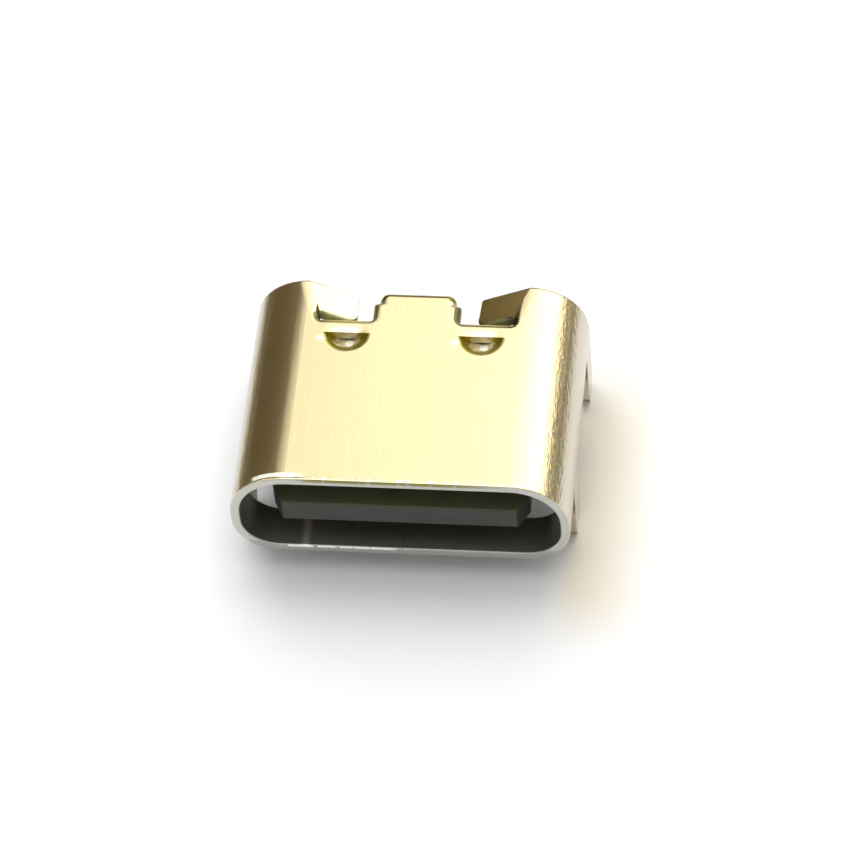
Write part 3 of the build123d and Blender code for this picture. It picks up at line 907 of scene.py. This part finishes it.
class SOCKET_OT_build_stage(bpy.types.Operator):
    """Lay the paper, stand the cards, hang the lamps and place the camera"""

    bl_idname = "socket.build_stage"
    bl_label = "Build Stage"

    def execute(self, context):
        looks = context.scene.socket_stage
        self.lay_paper(looks)
        dark_card = card_material("Dark Card", looks.card)
        shaded_card = card_material("Shaded Card", looks.shaded_card)
        for index in range(CARD_COUNT):
            self.stand_card(f"low_card_{index}", (index + 0.5) * 360 / CARD_COUNT, dark_card)
        self.hang_side_card("left_card", dark_card, -9.3 * MM, -1 * MM, 27 * MM, 14.6 * MM)
        self.hang_side_card("right_card", shaded_card, 14 * MM, 2 * MM, 26 * MM, 5.0 * MM)
        self.hang_sheet()
        key = hang_lamp("Key Lamp", (-0.10, 0.50, 0.82), 260 * MM, 260 * MM, 260 * MM, 2.4)
        key.visible_glossy = False
        hang_lamp("Top Lamp", (0.05, 0.0, 1.0), 300 * MM, 280 * MM, 280 * MM, 1.1)
        self.colour_world(context)
        self.place_camera(context, looks)
        return {"FINISHED"}

    def stand_card(self, name, azimuth, material, distance=180 * MM, width=100 * MM, high=62 * MM):
        """A flat card facing the socket, which only its mirror image shows."""
        turn = math.radians(azimuth)
        centre = (math.sin(turn) * distance, math.cos(turn) * distance, (CAD_LOW.z + high) / 2)
        across = Vector((math.cos(turn), -math.sin(turn), 0))
        up = Vector((0, 0, 1))
        rotation = Matrix((across, up, across.cross(up))).transposed()
        card = add_plane(name, centre, rotation, width, high - CAD_LOW.z, material)
        card.visible_camera = False

    def hang_side_card(self, name, material, x, front_y, rear_y, high):
        """A small card close by, met only by mirror images, as a dark room would be."""
        rotation = Matrix(((0, 0, 1), (1, 0, 0), (0, 1, 0)))
        centre = (x, (front_y + rear_y) / 2, (CAD_LOW.z + high) / 2)
        plane = add_plane(name, centre, rotation, rear_y - front_y, high - CAD_LOW.z, material)
        mirror_only(plane)

    def hang_sheet(self):
        """A glowing sheet behind the socket, brighter to the right, met only by mirror images."""
        material, tree, output = new_material("Bright Sheet")
        place = use_group(tree, "Place").outputs
        turn = product(tree, math_node(tree, "ARCTAN2", place["X"], place["Z"]), 180 / math.pi)
        share = ramp_value(tree, turn, SHEET_FROM, SHEET_TO, smooth=False)
        glow = add_node(tree, "ShaderNodeValToRGB", {"Fac": share})
        ramp = glow.color_ramp
        while len(ramp.elements) < len(SHEET_GLOW):
            ramp.elements.new(0.5)
        for element, (angle, level) in zip(ramp.elements, SHEET_GLOW):
            element.position = (angle - SHEET_FROM) / (SHEET_TO - SHEET_FROM)
            element.color = (level, level, level, 1)
        emission = add_node(tree, "ShaderNodeEmission", {"Color": glow.outputs[0], "Strength": 1.0})
        clear = tree.nodes.new("ShaderNodeBsdfTransparent")
        both = add_node(tree, "ShaderNodeAddShader", {0: emission.outputs[0], 1: clear.outputs[0]})
        tree.links.new(both.outputs[0], output.inputs[0])
        rotation = Matrix(((1, 0, 0), (0, 0, -1), (0, 1, 0)))
        sheet = add_plane("bright_sheet", (0, 100 * MM, 0), rotation, 320 * MM, 320 * MM, material)
        mirror_only(sheet)

    def lay_paper(self, looks):
        """The sheet of paper under the legs, with painted warm bounce light beside the socket's right side."""
        bpy.ops.object.select_all(action="DESELECT")
        bpy.ops.mesh.primitive_circle_add(
            vertices=96, radius=looks.paper_radius, fill_type="NGON", location=(0, 0, CAD_LOW.z))
        paper = bpy.context.object
        paper.name = "paper"
        paper.data.transform(paper.matrix_world)
        paper.matrix_world = Matrix()
        material, tree, output = new_material("Paper")
        place = use_group(tree, "Place").outputs
        warm = product(
            tree, ramp_value(tree, place["X"], 3.6, 4.6), ramp_value(tree, place["X"], 7.0, 4.9),
            ramp_value(tree, place["Y"], -6.0, -3.4), ramp_value(tree, place["Y"], 5.0, 1.5))
        end_matt(tree, output, mix_colour(tree, warm, looks.paper, looks.warm_bounce))
        paper.data.materials.append(material)

    def colour_world(self, context):
        """White where the camera or a mirror image meets it, and gentler on matt things."""
        world = bpy.data.worlds.new("Studio")
        world.use_nodes = True
        context.scene.world = world
        tree = world.node_tree
        tree.nodes.clear()
        path = tree.nodes.new("ShaderNodeLightPath").outputs
        seen = larger(tree, path["Is Camera Ray"], path["Is Glossy Ray"])
        seen = larger(tree, seen, path["Is Transmission Ray"])
        background = add_node(
            tree, "ShaderNodeBackground", {"Color": (1, 1, 1, 1), "Strength": mix(tree, seen, 0.59, 1.0)})
        output = tree.nodes.new("ShaderNodeOutputWorld")
        tree.links.new(background.outputs[0], output.inputs[0])

    def place_camera(self, context, looks):
        """The view of the photograph."""
        data = bpy.data.cameras.new("Camera")
        data.sensor_width = 36
        data.lens = looks.focal_length
        data.clip_start = 0.005
        data.clip_end = 5
        camera = bpy.data.objects.new("Camera", data)
        context.scene.collection.objects.link(camera)
        turn = Matrix((CAMERA_RIGHT, CAMERA_UP, CAMERA_BACK)).transposed().to_4x4()
        camera.matrix_world = Matrix.Translation(CAMERA_PLACE) @ turn
        context.scene.camera = camera


class SOCKET_PT_sidebar(bpy.types.Panel):
    """The socket's finishes and stage"""

    bl_label = "Socket"
    bl_idname = "SOCKET_PT_sidebar"
    bl_space_type = "VIEW_3D"
    bl_region_type = "UI"
    bl_category = "Socket"

    def draw(self, context):
        layout = self.layout
        for name, settings in SETTINGS:
            box = layout.box()
            for key in settings.__annotations__:
                box.prop(getattr(context.scene, name), key)
        for operator in STEPS:
            layout.operator(operator.bl_idname)


STEPS = (
    SOCKET_OT_finish_shell,
    SOCKET_OT_finish_moulding,
    SOCKET_OT_finish_mid_plate,
    SOCKET_OT_finish_contacts,
    SOCKET_OT_build_stage,
)
CLASSES = tuple(settings for _, settings in SETTINGS) + STEPS + (SOCKET_PT_sidebar,)


def register():
    """Adds the classes and the scene's settings."""
    for cls in CLASSES:
        bpy.utils.register_class(cls)
    for name, settings in SETTINGS:
        setattr(bpy.types.Scene, name, PointerProperty(type=settings))


def unregister():
    """Takes the classes and the scene's settings away."""
    for name, _ in SETTINGS:
        delattr(bpy.types.Scene, name)
    for cls in reversed(CLASSES):
        bpy.utils.unregister_class(cls)


def main():
    """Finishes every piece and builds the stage."""
    register()
    make_groups()
    bpy.ops.socket.finish_shell()
    bpy.ops.socket.finish_moulding()
    bpy.ops.socket.finish_mid_plate()
    bpy.ops.socket.finish_contacts()
    bpy.ops.socket.build_stage()
    bpy.context.scene.view_settings.view_transform = "Standard"


if __name__ == "__main__":
    main()
